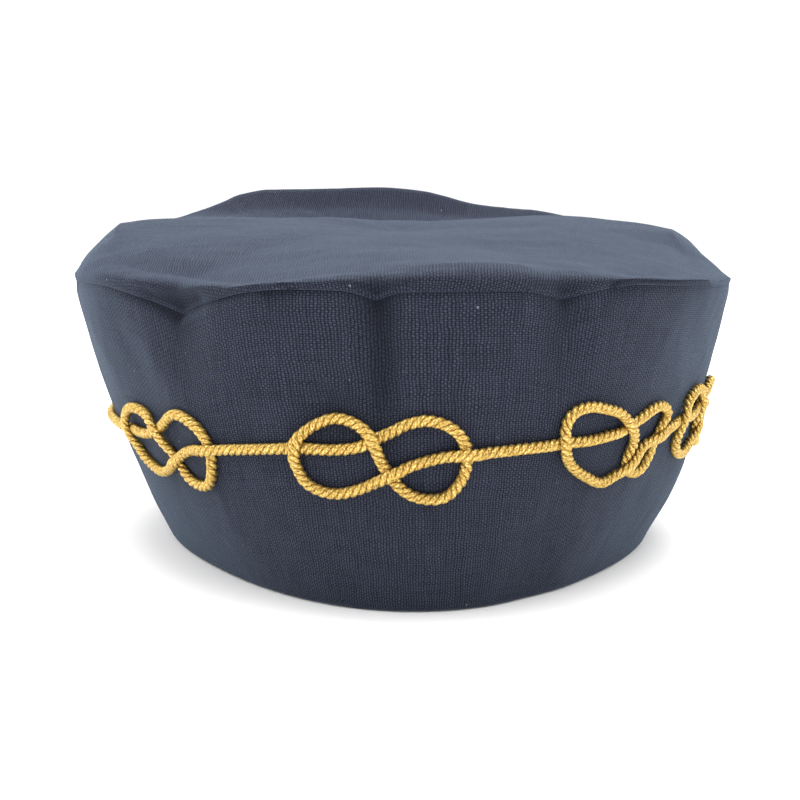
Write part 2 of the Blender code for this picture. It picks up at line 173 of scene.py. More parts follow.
# Hollows and swellings of the wall. rise is a share of the wall's height, depth a share of DENT_DEPTH,
# inwards, across is half the width in degrees, and along half the height as a share of the wall's.
WALL_DENTS = [
    dict(angle=-2.4, rise=0.84, depth=1.15, across=4.6, along=0.36),
    dict(angle=-9.5, rise=0.66, depth=0.60, across=9.0, along=0.17),
    dict(angle=-18.0, rise=0.84, depth=-0.30, across=12.0, along=0.26),
    dict(angle=8.5, rise=0.76, depth=-0.45, across=10.0, along=0.40),
    dict(angle=-33.0, rise=0.90, depth=0.45, across=8.0, along=0.26),
    dict(angle=22.5, rise=0.88, depth=0.40, across=7.0, along=0.28),
    dict(angle=24.0, rise=0.16, depth=0.35, across=10.0, along=0.30),
    dict(angle=58.0, rise=0.78, depth=0.35, across=15.0, along=0.30),
    dict(angle=74.0, rise=0.28, depth=-0.65, across=24.0, along=0.30),
    dict(angle=99.0, rise=0.66, depth=0.90, across=16.0, along=0.36),
    dict(angle=128.0, rise=0.80, depth=-0.40, across=14.0, along=0.30),
    dict(angle=150.0, rise=0.70, depth=0.90, across=12.0, along=0.38),
    dict(angle=186.0, rise=0.74, depth=1.00, across=14.0, along=0.34),
    dict(angle=214.0, rise=0.60, depth=-0.45, across=14.0, along=0.40),
    dict(angle=238.0, rise=0.78, depth=0.95, across=12.0, along=0.36),
    dict(angle=272.0, rise=0.66, depth=0.75, across=16.0, along=0.40),
    dict(angle=305.0, rise=0.80, depth=-0.30, across=12.0, along=0.30),
]

# Sections of the tip. TIP_STATIONS says how far out each height holds, from the middle to the shoulder, and
# the heights are shares of TIP_PUFF above the seam. roll is the width of the edge that rolls down to the
# seam, as a share of TIP_ROLL, and slope is 0 where that edge is round and 1 where it is a straight slope.
TIP_MIDDLE = 0.46
TIP_STATIONS = (0.0, 0.34, 0.62, 0.90, 1.0)
TIP_SECTIONS = [
    dict(angle=0, inner=0.40, middle=0.31, outer=0.20, shoulder=0.165, roll=0.30, slope=0.40),
    dict(angle=12, inner=0.40, middle=0.31, outer=0.22, shoulder=0.205, roll=0.32, slope=0.45),
    dict(angle=24, inner=0.41, middle=0.32, outer=0.21, shoulder=0.168, roll=0.30, slope=0.40),
    dict(angle=37, inner=0.42, middle=0.34, outer=0.18, shoulder=0.105, roll=0.20, slope=0.30),
    dict(angle=56, inner=0.45, middle=0.40, outer=0.22, shoulder=0.110, roll=0.30, slope=0.50),
    dict(angle=70, inner=0.47, middle=0.47, outer=0.34, shoulder=0.220, roll=0.62, slope=0.90),
    dict(angle=82, inner=0.50, middle=0.53, outer=0.49, shoulder=0.470, roll=0.84, slope=0.78),
    dict(angle=96, inner=0.54, middle=0.58, outer=0.55, shoulder=0.510, roll=0.66, slope=0.45),
    dict(angle=124, inner=0.57, middle=0.62, outer=0.60, shoulder=0.565, roll=0.70, slope=0.30),
    dict(angle=140, inner=0.57, middle=0.54, outer=0.60, shoulder=0.720, roll=0.80, slope=0.20),
    dict(angle=156, inner=0.56, middle=0.46, outer=0.62, shoulder=0.790, roll=0.94, slope=0.10),
    dict(angle=174, inner=0.56, middle=0.42, outer=0.69, shoulder=0.950, roll=1.00, slope=0.05),
    dict(angle=195, inner=0.56, middle=0.41, outer=0.72, shoulder=0.990, roll=1.00, slope=0.05),
    dict(angle=212, inner=0.57, middle=0.44, outer=0.70, shoulder=0.950, roll=0.94, slope=0.10),
    dict(angle=226, inner=0.58, middle=0.47, outer=0.67, shoulder=0.872, roll=0.82, slope=0.20),
    dict(angle=238, inner=0.58, middle=0.53, outer=0.60, shoulder=0.690, roll=0.72, slope=0.35),
    dict(angle=252, inner=0.56, middle=0.57, outer=0.56, shoulder=0.525, roll=0.70, slope=0.60),
    dict(angle=274, inner=0.52, middle=0.55, outer=0.53, shoulder=0.490, roll=0.70, slope=0.88),
    dict(angle=288, inner=0.49, middle=0.49, outer=0.46, shoulder=0.430, roll=0.64, slope=0.80),
    dict(angle=300, inner=0.46, middle=0.43, outer=0.35, shoulder=0.260, roll=0.50, slope=0.50),
    dict(angle=313, inner=0.44, middle=0.38, outer=0.26, shoulder=0.130, roll=0.34, slope=0.30),
    dict(angle=324, inner=0.42, middle=0.34, outer=0.20, shoulder=0.095, roll=0.34, slope=0.20),
    dict(angle=331, inner=0.41, middle=0.32, outer=0.17, shoulder=0.085, roll=0.30, slope=0.20),
    dict(angle=338, inner=0.40, middle=0.31, outer=0.15, shoulder=0.068, roll=0.24, slope=0.35),
    dict(angle=349, inner=0.40, middle=0.31, outer=0.17, shoulder=0.105, roll=0.26, slope=0.20),
]

# The middle line of one love knot, as shares of KNOT_WIDTH across from its middle and of KNOT_HEIGHT up from
# the straight cord: across and up in a neat knot, loose_across and loose_up in a loosely laid one. over is 1
# where the cord crosses over itself.
LOVE_KNOT = [
    dict(across=-0.500, up=0.020, loose_across=-0.565, loose_up=0.105, over=0),
    dict(across=-0.400, up=0.030, loose_across=-0.440, loose_up=0.112, over=0),
    dict(across=-0.250, up=0.040, loose_across=-0.280, loose_up=0.115, over=0),
    dict(across=-0.110, up=0.090, loose_across=-0.130, loose_up=0.145, over=0),
    dict(across=-0.010, up=0.190, loose_across=0.005, loose_up=0.185, over=0),
    dict(across=0.100, up=0.310, loose_across=0.120, loose_up=0.300, over=0),
    dict(across=0.190, up=0.430, loose_across=0.200, loose_up=0.385, over=0),
    dict(across=0.280, up=0.490, loose_across=0.290, loose_up=0.434, over=0),
    dict(across=0.380, up=0.450, loose_across=0.380, loose_up=0.405, over=0),
    dict(across=0.465, up=0.320, loose_across=0.445, loose_up=0.300, over=0),
    dict(across=0.510, up=0.130, loose_across=0.425, loose_up=0.130, over=0),
    dict(across=0.516, up=-0.090, loose_across=0.390, loose_up=-0.090, over=0),
    dict(across=0.485, up=-0.300, loose_across=0.355, loose_up=-0.280, over=0),
    dict(across=0.410, up=-0.490, loose_across=0.310, loose_up=-0.455, over=0),
    dict(across=0.310, up=-0.535, loose_across=0.225, loose_up=-0.500, over=0),
    dict(across=0.200, up=-0.480, loose_across=0.140, loose_up=-0.420, over=0),
    dict(across=0.110, up=-0.340, loose_across=0.100, loose_up=-0.265, over=0),
    dict(across=0.040, up=-0.120, loose_across=0.105, loose_up=-0.020, over=0),
    dict(across=-0.020, up=0.170, loose_across=0.035, loose_up=0.190, over=1),
    dict(across=-0.060, up=0.290, loose_across=-0.020, loose_up=0.315, over=0),
    dict(across=-0.140, up=0.390, loose_across=-0.100, loose_up=0.435, over=0),
    dict(across=-0.240, up=0.410, loose_across=-0.220, loose_up=0.515, over=0),
    dict(across=-0.350, up=0.330, loose_across=-0.370, loose_up=0.570, over=0),
    dict(across=-0.440, up=0.210, loose_across=-0.480, loose_up=0.510, over=0),
    dict(across=-0.478, up=0.120, loose_across=-0.530, loose_up=0.340, over=0),
    dict(across=-0.488, up=0.040, loose_across=-0.525, loose_up=0.110, over=1),
    dict(across=-0.495, up=-0.150, loose_across=-0.470, loose_up=-0.115, over=0),
    dict(across=-0.453, up=-0.370, loose_across=-0.400, loose_up=-0.260, over=0),
    dict(across=-0.360, up=-0.470, loose_across=-0.280, loose_up=-0.405, over=0),
    dict(across=-0.240, up=-0.490, loose_across=-0.120, loose_up=-0.535, over=0),
    dict(across=-0.090, up=-0.400, loose_across=-0.005, loose_up=-0.470, over=0),
    dict(across=0.070, up=-0.220, loose_across=0.120, loose_up=-0.345, over=1),
    dict(across=0.250, up=-0.050, loose_across=0.235, loose_up=-0.120, over=0),
    dict(across=0.400, up=0.045, loose_across=0.330, loose_up=-0.050, over=0),
    dict(across=0.512, up=0.075, loose_across=0.400, loose_up=-0.010, over=1),
    dict(across=0.600, up=0.080, loose_across=0.520, loose_up=0.046, over=0),
]

# Each knot's place round the cap. wide is a share of KNOT_WIDTH, and left and right are its two loops'
# shares of KNOT_HEIGHT. raised is a share of KNOT_HEIGHT too, and lean is in degrees. loose is 0 in a neat
# knot and 1 in a loosely laid one.
KNOTS = [
    dict(angle=-43.9, wide=1.03, left=1.00, right=1.00, raised=-0.145, lean=0.8, loose=0.25),
    dict(angle=-3.7, wide=1.00, left=1.07, right=1.00, raised=0.02, lean=-1.3, loose=0.0),
    dict(angle=37.5, wide=1.02, left=1.00, right=1.01, raised=0.00, lean=0.0, loose=1.0),
    dict(angle=67.5, wide=0.96, left=1.08, right=1.00, raised=0.04, lean=-1.0, loose=0.2),
    dict(angle=107.0, wide=1.00, left=0.97, right=1.04, raised=-0.02, lean=-1.5, loose=0.1),
    dict(angle=146.0, wide=1.02, left=1.05, right=0.98, raised=0.03, lean=1.0, loose=0.4),
    dict(angle=185.0, wide=0.98, left=1.00, right=1.03, raised=-0.03, lean=0.0, loose=0.0),
    dict(angle=224.0, wide=1.01, left=1.03, right=0.97, raised=0.02, lean=-1.0, loose=0.6),
    dict(angle=262.0, wide=1.00, left=0.99, right=1.02, raised=-0.16, lean=-1.5, loose=0.2),
]


def column(rows, name):
    return np.array([row[name] for row in rows], float)


def turn_between(angle, other):
    """The signed turn from one angle to another, from -180 to 180 degrees."""
    return (other - angle + 180.0) % 360.0 - 180.0


def swell(distance, reach):
    """A squared cosine: 1 in the middle of a fold, falling smoothly to 0 at its reach."""
    return np.cos(0.5 * np.pi * np.clip(np.abs(distance) / reach, 0.0, 1.0)) ** 2


def smooth_through(values, places, at):
    """A cubic Hermite curve through values at rising places, each slope taken from the value's neighbours.

    values is one number or one grid of numbers for each place, and at is a grid.
    """
    places = np.asarray(places, float)
    grids = np.stack([np.broadcast_to(value, at.shape) for value in values])
    after = np.minimum(np.arange(len(places)) + 1, len(places) - 1)
    before = np.maximum(np.arange(len(places)) - 1, 0)
    spread = (places[after] - places[before]).reshape((-1,) + (1,) * at.ndim)
    slopes = (grids[after] - grids[before]) / spread
    span = np.clip(np.searchsorted(places, at, side="right") - 1, 0, len(places) - 2)
    width = places[span + 1] - places[span]
    t = (at - places[span]) / width

    def of(table, i):
        return np.take_along_axis(table, i[None], axis=0)[0]

    return (
        (2 * t**3 - 3 * t**2 + 1) * of(grids, span)
        + (t**3 - 2 * t**2 + t) * width * of(slopes, span)
        + (3 * t**2 - 2 * t**3) * of(grids, span + 1)
        + (t**3 - t**2) * width * of(slopes, span + 1)
    )


def round_the_cap(rows, name, angle):
    """A column of a table of sections, read smoothly at any angles round the cap."""
    places, values = column(rows, "angle"), column(rows, name)
    places = np.concatenate([places[-2:] - 360.0, places, places[:2] + 360.0])
    values = np.concatenate([values[-2:], values, values[:2]])
    return smooth_through(values, places, angle % 360.0)


def rumpled(turns, up, cells, seed):
    """Smooth random heights from -1 to 1, blended between the corners of a lattice closed round the cap.

    turns counts whole turns, up runs from 0 to 1, and cells says how many lattice cells each holds.
    """
    lattice = np.random.default_rng(seed).uniform(-1.0, 1.0, (cells[1] + 2, cells[0]))
    x, y = (turns % 1.0) * cells[0], np.clip(up, 0.0, 1.0) * cells[1]
    i, j = np.floor(x).astype(int), np.floor(y).astype(int)
    s, t = x - i, y - j
    s, t = s * s * (3.0 - 2.0 * s), t * t * (3.0 - 2.0 * t)
    left, right = i % cells[0], (i + 1) % cells[0]
    low = lattice[j, left] * (1.0 - s) + lattice[j, right] * s
    high = lattice[j + 1, left] * (1.0 - s) + lattice[j + 1, right] * s
    return low * (1.0 - t) + high * t


def puckered(angle):
    """How far the seam is down, as a share of PUCKER_DROP.

    It is (1 - turn / reach) squared, times the pucker's drop, summed over the puckers, less the level.
    """
    total = -round_the_cap(SEAM_LEVELS, "level", angle)
    for row in PUCKERS:
        near = np.clip(1.0 - np.abs(turn_between(row["angle"], angle)) / row["reach"], 0.0, 1.0)
        total += row["drop"] * near**2
    return total


def drawn(angle):
    """How much the top's edge is drawn down above a pucker: a little, and more widely than the seam."""
    total = np.zeros_like(angle)
    for row in PUCKERS:
        total += 0.15 * row["drop"] * swell(turn_between(row["angle"], angle), 1.3 * row["reach"])
    return total


def seam_height(angle):
    return SEAM_HEIGHT - PUCKER_DROP * puckered(angle)


def seam_tuck(angle):
    """How far the seam line is drawn in: a little all round, most in front, and more at a pucker."""
    shown = TUCK_ALL_ROUND + (1.0 - TUCK_ALL_ROUND) * swell(turn_between(TUCK_MIDDLE, angle), TUCK_REACH)
    return SEAM_GROOVE * (shown + TUCK_PUCKERED * np.clip(puckered(angle), 0.0, TUCK_MOST_PUCKERED))


def wall_dent(angle, rise):
    """How far the wall is pushed in: each row's swell across times that along, and the puckers' pull."""
    dent = np.zeros_like(angle)
    for row in WALL_DENTS:
        beside = swell(turn_between(row["angle"], angle), row["across"])
        dent += row["depth"] * beside * swell(rise - row["rise"], row["along"])
    return DENT_DEPTH * dent + PUCKER_DEPTH * puckered(angle) * rise**4


def wall_relief(angle, rise):
    """Small slack of the cloth, outwards, none of it at the foot or the seam, less the seam's tuck."""
    slack = np.zeros_like(angle)
    for row in WALL_SLACKS:
        turns = angle / 360.0 + row["lean"] * rise
        slack += row["depth"] * rumpled(turns, rise, (row["across"], row["along"]), row["seed"])
    foot_end, seam_end = 0.12, 0.04
    slack *= np.clip(rise / foot_end, 0.0, 1.0) * np.clip((1.0 - rise) / seam_end, 0.0, 1.0)
    return slack - seam_tuck(angle) * swell(rise - 1.0, TUCK_DOWN_THE_WALL)


def wall_point(angle, rise, inset=0.0):
    """Points of the wall from its foot at rise 0 to the seam at rise 1.

    Each is an ellipse's point whose half sizes grow from the opening's to the seam's, pushed out by the
    bulge and the slack and in by the dents, and moved sideways by the lean.
    """
    bulge = WALL_BULGE * 4.0 * rise * (1.0 - rise)
    half_width = OPENING_WIDTH / 2 + WALL_THICKNESS
    half_length = OPENING_LENGTH / 2 + WALL_THICKNESS
    half_seam = SEAM_DIAMETER / 2
    turn = np.radians(angle)
    pointed = FOOT_POINT * (1.0 - rise) * (1.0 - np.cos(4.0 * turn)) / 2
    pushed = bulge - pointed - wall_dent(angle, rise) + wall_relief(angle, rise) - inset
    return np.stack([
        (half_width + (half_seam - half_width) * rise + pushed) * np.sin(turn) + WALL_LEAN * (1.0 - rise),
        -(half_length + (half_seam - half_length) * rise + pushed) * np.cos(turn),
        rise * seam_height(angle),
    ], axis=-1)


def wall_outward(angle, rise):
    """The wall's outward normal: the cross product of a small step round the cap and a small step up."""
    step, lift = 0.4, 0.008
    low, high = np.clip(rise - lift, 0.0, 1.0), np.clip(rise + lift, 0.0, 1.0)
    beside = wall_point(angle + step, rise) - wall_point(angle - step, rise)
    upward = wall_point(angle, high) - wall_point(angle, low)
    return unit(np.cross(beside, upward))


def unit(vectors):
    return vectors / np.linalg.norm(vectors, axis=-1, keepdims=True)


def tip_relief(angle, out):
    """The tip's small slack, upwards: soft random heights laid flat on it, less a crease at each pucker."""
    turn = np.radians(angle)
    roll_width, edge_end = 0.15, 0.3
    flat = np.minimum(out, 1.0) + roll_width * np.clip(out - 1.0, 0.0, 1.0)
    across, along = flat * np.sin(turn), -flat * np.cos(turn)
    lattice_width, lattice_length = 10.0, 4.4
    slack = np.zeros_like(angle)
    for row in TIP_SLACKS:
        cells = (row["across"], row["along"])
        x, y = across / lattice_width, 0.5 + along / lattice_length
        slack += row["depth"] * rumpled(x, y, cells, row["seed"])
    slack *= np.clip((2.0 - out) / edge_end, 0.0, 1.0)
    crease = np.zeros_like(angle)
    crease_at, banks_at = 1.82, 1.72
    for row in PUCKERS:
        beside = turn_between(row["angle"], angle)
        deep = min(row["drop"], CREASE_MOST)
        crease += deep * swell(beside, CREASE_WIDTH) * swell(out - crease_at, CREASE_LENGTH)
        banks = swell(np.abs(beside) - BANKS_BESIDE, CREASE_WIDTH) * swell(out - banks_at, CREASE_LENGTH)
        crease -= CREASE_BANKS * deep * banks
    return slack - CREASE_DEPTH * crease


def tip_point(angle, out):
    """Points of the tip's outside. out is 0 in the middle, 1 at the shoulder and 2 at the upright edge.

    The top is a smooth curve through the sections' heights, and the roll a blend of a quarter circle and a
    straight slope.
    """
    seam = wall_point(angle, np.ones_like(angle))
    tuck = seam_tuck(angle)
    reach = np.hypot(seam[..., 0], seam[..., 1]) + tuck
    roll = TIP_ROLL * round_the_cap(TIP_SECTIONS, "roll", angle)
    slope = round_the_cap(TIP_SECTIONS, "slope", angle)
    shoulder = TIP_PUFF * round_the_cap(TIP_SECTIONS, "shoulder", angle)
    names = ("inner", "middle", "outer", "shoulder")
    heights = [TIP_MIDDLE] + [round_the_cap(TIP_SECTIONS, name, angle) for name in names]
    on_top = TIP_PUFF * smooth_through(heights, TIP_STATIONS, np.minimum(out, 1.0))
    past = np.clip(out - 1.0, 0.0, 1.0)
    bend = 0.5 * np.pi * past
    down = (1.0 - slope) * np.cos(bend) + slope * (1.0 - past)
    across = (1.0 - slope) * np.sin(bend) + slope * past
    on_roll = TIP_EDGE + (shoulder - TIP_EDGE) * down
    height = np.where(out <= 1.0, on_top, on_roll)
    rolled = reach - roll + roll * across + (1.0 - slope) * TIP_OVERHANG * np.sin(2.0 * bend)
    tall = np.clip((shoulder + PUCKER_DROP * puckered(angle)) / TALL_ROLL, 0.0, 1.0) ** 2
    rolled += TIP_LIP * past**2 - tuck * tall * swell(past - 1.0, TUCK_UP_THE_ROLL)
    radius = np.where(out <= 1.0, (reach - roll) * out, rolled)
    low = past**3
    tucked = -PUCKER_DROP * (puckered(angle) * low + drawn(angle) * (1.0 - low) * np.minimum(out, 1.0) ** 3)
    relief = tip_relief(angle, out)
    push = relief * np.sin(bend)
    turn = np.radians(angle)
    return np.stack([
        (radius + push) * np.sin(turn),
        -(radius + push) * np.cos(turn),
        SEAM_HEIGHT + height + tucked + relief * np.cos(bend),
    ], axis=-1)


def grid_normals(rings):
    """Outward normals of a grid of rings that close: the cross product of the steps beside and along."""
    beside = np.roll(rings, -1, axis=1) - np.roll(rings, 1, axis=1)
    along = np.gradient(rings, axis=0)
    return unit(np.cross(beside, along))


def lengths_along(rings):
    """How far each point of a grid is from the first ring, measured over the rings."""
    steps = np.linalg.norm(np.diff(rings, axis=0), axis=-1)
    return np.concatenate([np.zeros((1, rings.shape[1])), np.cumsum(steps, axis=0)])


def seam_shade(angle, from_seam, sizes):
    """Painted shade: how much the cloth's colour is darkened along the seam and at each pucker."""
    shade = sizes["seam"] * seam_tuck(angle) / SEAM_GROOVE * swell(from_seam, sizes["seam_reach"])
    for row in PUCKERS:
        beside = swell(turn_between(row["angle"], angle), sizes["across"])
        shade += min(row["drop"], PUCKER_SHADE) * beside * swell(from_seam, sizes["reach"])
    return shade


def wall_shade(angle, rise):
    """Painted shade: how much the wall's colour is darkened along the seam, below puckers, and in hollows.
    """
    shade = seam_shade(angle, rise - 1.0, WALL_SHADE)
    for row in WALL_DENTS:
        beside = swell(turn_between(row["angle"], angle), HOLLOW_SHADE_WIDTH * row["across"])
        deep = max(HOLLOW_SHADE * row["depth"], 0.0)
        shade += deep * beside * swell(rise - row["rise"], row["along"])
    return np.clip(shade, 0.0, 1.0)


def tip_shade(angle, out):
    """Painted shade: how much the tip's colour is darkened along the seam, and above each pucker."""
    return np.clip(seam_shade(angle, out - 2.0, TIP_SHADE), 0.0, 1.0)


def add_shade(mesh, shade):
    """Stores each point's painted shade. A mesh's last points, which close its rings, get none."""
    layer = mesh.attributes.new("fold_shade", "FLOAT", "POINT")
    values = np.zeros(len(mesh.vertices))
    values[:shade.size] = shade.ravel()
    layer.data.foreach_set("value", values)


def skin(name, rings, cloth, joined=False, middles=()):
    """A mesh of quads through closed rings of points, each facing outwards where the rings turn towards +X.

    cloth is one column wider than the rings and gives every corner's place on the cloth. joined closes the
    last ring to the first. middles are points that close a ring, each with whether it faces as the quads do.
    """
    count, columns = rings.shape[:2]
    rows = np.arange(count if joined else count - 1)[:, None]
    beside = np.arange(columns)[None, :]
    above = (rows + 1) % count
    after = (beside + 1) % columns
    quads = np.stack([
        rows * columns + beside, rows * columns + after, above * columns + after, above * columns + beside,
    ], axis=-1).reshape(-1, 4)
    corner_cloth = np.stack([
        cloth[rows, beside], cloth[rows, beside + 1], cloth[rows + 1, beside + 1], cloth[rows + 1, beside],
    ], axis=2).reshape(-1, 2)
    points = rings.reshape(-1, 3)
    faces = quads.tolist()
    for ring, middle, outwards in middles:
        tip = len(points)
        points = np.vstack([points, middle])
        first = ring % count * columns
        edge = np.stack([first + beside[0], first + after[0]] if outwards else
                        [first + after[0], first + beside[0]], axis=-1)
        faces += [(tip, b, a) for a, b in edge.tolist()]
        here, there = cloth[ring, :-1], cloth[ring, 1:]
        if not outwards:
            here, there = there, here
        centre = np.zeros_like(here)
        corner_cloth = np.vstack([corner_cloth, np.stack([centre, there, here], axis=1).reshape(-1, 2)])
    mesh = bpy.data.meshes.new(name)
    mesh.from_pydata(points.tolist(), [], faces)
    layer = mesh.uv_layers.new(name="cloth")
    layer.data.foreach_set("uv", corner_cloth.ravel())
    mesh.shade_smooth()
    return mesh


def place(name, mesh, material, node):
    """Puts a finished mesh in the scene, riding on the cap and standing for one of its solids."""
    mesh.materials.append(material)
    piece = bpy.data.objects.new(name, mesh)
    bpy.context.scene.collection.objects.link(piece)
    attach(piece, "root")
    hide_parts(node)


def wall_profile():
    """The wall's section as rises and insets: up outside, over the top, down inside, and round the foot."""
    lip, foot = SEAM_LIP / SEAM_HEIGHT, WALL_THICKNESS / 2 / SEAM_HEIGHT
    bend = np.linspace(0.0, 0.5 * np.pi, LIP_ROWS + 1)
    turn = np.linspace(0.0, np.pi, FOOT_TURN_ROWS + 1)[1:-1]
    up = np.linspace(foot, 1.0 - lip, WALL_GRID_ROWS)
    down = np.linspace(1.0 - lip, foot, WALL_LINING_ROWS)
    rises = [up, 1.0 - lip + lip * np.sin(bend[1:]), 1.0 - lip + lip * np.cos(bend[:-1]), down,
             foot - foot * np.sin(turn)]
    insets = [0.0 * up, SEAM_LIP * (1.0 - np.cos(bend[1:])),
              WALL_THICKNESS - SEAM_LIP * (1.0 - np.sin(bend[:-1])),
              0.0 * down + WALL_THICKNESS, WALL_THICKNESS / 2 * (1.0 + np.cos(turn))]
    return np.concatenate(rises), np.concatenate(insets)


def make_cap_wall(material):
    """The side wall, its angles along one axis and the section's rises and insets along the other."""
    rises, insets = wall_profile()
    angles = 180.0 + 360.0 * np.arange(CLOTH_COLUMNS) / CLOTH_COLUMNS
    angle, rise = np.meshgrid(angles, rises)
    inset = np.broadcast_to(insets[:, None], angle.shape)
    rings = wall_point(angle, rise, inset)
    mean_radius = (OPENING_WIDTH + OPENING_LENGTH + 2 * SEAM_DIAMETER) / 8
    around = np.radians(np.append(angles, angles[0] + 360.0) - 360.0) * mean_radius
    up = lengths_along(rings).mean(axis=1)
    up = np.append(up, up[-1] + WALL_THICKNESS / 2)
    cloth = np.stack(np.meshgrid(around, up), axis=-1)
    mesh = skin("cap_wall", rings, cloth, joined=True)
    add_shade(mesh, wall_shade(angle, rise))
    place("cap_wall", mesh, material, "side_wall")


def make_cap_tip(material):
    """The tip: its outside from the middle to the seam, its turned edge, and its inside back to the middle.

    The inside lies a thickness within the outside. It is held inside the edge, and in the roll no ring is
    higher than the next one inwards. This takes out about half of the places where a tight roll would
    cross itself.
    """
    angles = 180.0 + 360.0 * np.arange(CLOTH_COLUMNS) / CLOTH_COLUMNS
    top = np.linspace(0.0, 1.0, TIP_TOP_RINGS + 1)[1:]
    roll = 1.0 + np.linspace(0.0, 1.0, TIP_ROLL_RINGS + 1)[1:]
    outs = np.concatenate([top, roll])
    angle, out = np.meshgrid(angles, outs)
    outside = tip_point(angle, out)
    inward = grid_normals(outside)
    bend = np.linspace(0.0, np.pi, 2 * LIP_ROWS + 1)[1:-1, None, None]
    edge, edge_inward = outside[-1], inward[-1]
    level = unit(edge_inward * np.array([1.0, 1.0, 0.0]))
    half = TIP_THICKNESS / 2
    kept = np.linspace(len(outs) - 1, 0, TIP_LINING_RINGS + 1).round().astype(int)
    level_rings = 6.0
    blend = np.clip((len(outs) - 1 - kept) / level_rings, 0.0, 1.0)[:, None, None]
    offset = unit(level * (1.0 - blend) + inward[kept] * blend)
    inside = outside[kept] + offset * TIP_THICKNESS
    room = (np.hypot(edge[:, 0], edge[:, 1]) - TIP_THICKNESS) / np.hypot(inside[..., 0], inside[..., 1])
    inside[..., :2] *= np.minimum(room, 1.0)[..., None]
    rolled = np.count_nonzero(outs[kept] > 1.0)
    lowest = np.minimum.accumulate(inside[rolled::-1, :, 2], axis=0)[::-1]
    inside[:rolled + 1, :, 2] = lowest - RING_STEP * np.arange(rolled, -1, -1)[:, None]
    bottom = edge[:, 2] - TIP_EDGE - TIP_LIP
    side = np.where(bend[..., 0] > 0.5 * np.pi, inside[0, :, 2], edge[:, 2])
    turned = edge + level * half * (1.0 - np.cos(bend))
    turned[..., 2] = side + (bottom - side) * np.sin(bend[..., 0])
    rings = np.concatenate([outside, turned, inside])
    middle = tip_point(np.array([0.0]), np.array([0.0]))[0]
    along = lengths_along(rings)
    along = along + np.linalg.norm(rings[0] - middle, axis=-1)
    turn = np.radians(angles)
    way = np.stack([np.sin(turn), -np.cos(turn)], axis=-1)
    cloth = along[..., None] * way
    cloth = np.concatenate([cloth, cloth[:, :1]], axis=1)
    under = middle - np.array([0.0, 0.0, TIP_THICKNESS])
    middles = [(0, middle, True), (-1, under, False)]
    mesh = skin("cap_tip", rings, cloth, middles=middles)
    add_shade(mesh, tip_shade(angle, out))
    place("cap_tip", mesh, material, "crown_tip")


def knot_line():
    """The cord's middle line on a plain cylinder, knot by knot, and which of its points cross over it."""
    radius = (OPENING_WIDTH + OPENING_LENGTH + 2 * SEAM_DIAMETER) / 8 + WALL_THICKNESS
    lean = np.radians(column(KNOTS, "lean"))[:, None]
    loose = column(KNOTS, "loose")[:, None]
    neat_across, neat_up = column(LOVE_KNOT, "across"), column(LOVE_KNOT, "up")
    across = neat_across + (column(LOVE_KNOT, "loose_across") - neat_across) * loose
    up = neat_up + (column(LOVE_KNOT, "loose_up") - neat_up) * loose
    left, right = column(KNOTS, "left")[:, None], column(KNOTS, "right")[:, None]
    across = across * column(KNOTS, "wide")[:, None] * KNOT_WIDTH
    loops_apart = 0.6
    up = up * (left + (right - left) * np.clip(0.5 + neat_across / loops_apart, 0.0, 1.0)) * KNOT_HEIGHT
    along = across * np.cos(lean) - up * np.sin(lean)
    height = across * np.sin(lean) + up * np.cos(lean) + (column(KNOTS, "raised") * KNOT_HEIGHT)[:, None]
    turn = np.radians(column(KNOTS, "angle"))[:, None] + along / radius
    line = np.stack([radius * np.sin(turn), -radius * np.cos(turn), CORD_HEIGHT + height], axis=-1)
    over = np.tile(column(LOVE_KNOT, "over"), len(KNOTS)) > 0
    return line.reshape(-1, 3), over


def closed_curve(points, pieces):
    """A closed centripetal curve through points, as repeated blends between them, pieces to each span."""
    a, b, c, d = (np.roll(points, -k, axis=0)[:, None] for k in (-1, 0, 1, 2))

    def knot(start, end):
        return np.sqrt(np.linalg.norm(end - start, axis=-1, keepdims=True))

    first = knot(a, b)
    second = first + knot(b, c)
    third = second + knot(c, d)
    t = first + (second - first) * np.linspace(0.0, 1.0, pieces, endpoint=False)[None, :, None]

    def blend(start, end, low, high):
        return start + (end - start) * (t - low) / (high - low)

    ab, bc, cd = blend(a, b, 0.0, first), blend(b, c, first, second), blend(c, d, second, third)
    return blend(blend(ab, bc, 0.0, second), blend(bc, cd, first, third), first, second).reshape(-1, 3)


def run_lengths(points):
    """How far along a closed line each of its points is, and the line's whole length."""
    steps = np.linalg.norm(np.roll(points, -1, axis=0) - points, axis=-1)
    return np.concatenate([[0.0], np.cumsum(steps)[:-1]]), steps.sum()


def evenly_spaced(rows, step):
    """Rows a step apart on a closed line, read between given rows, whose first columns are x, y and z."""
    run, whole = run_lengths(rows[:, :3])
    count = round(whole / step)
    at = whole * np.arange(count) / count
    run, closed = np.append(run, whole), np.vstack([rows, rows[:1]])
    return np.stack([np.interp(at, run, closed[:, k]) for k in range(rows.shape[1])], axis=-1), whole


def apart_along(run, places, whole):
    """How far each point of a closed line is from each of some places, measured along it."""
    apart = np.abs(run[:, None] - places[None, :])
    return np.minimum(apart, whole - apart)


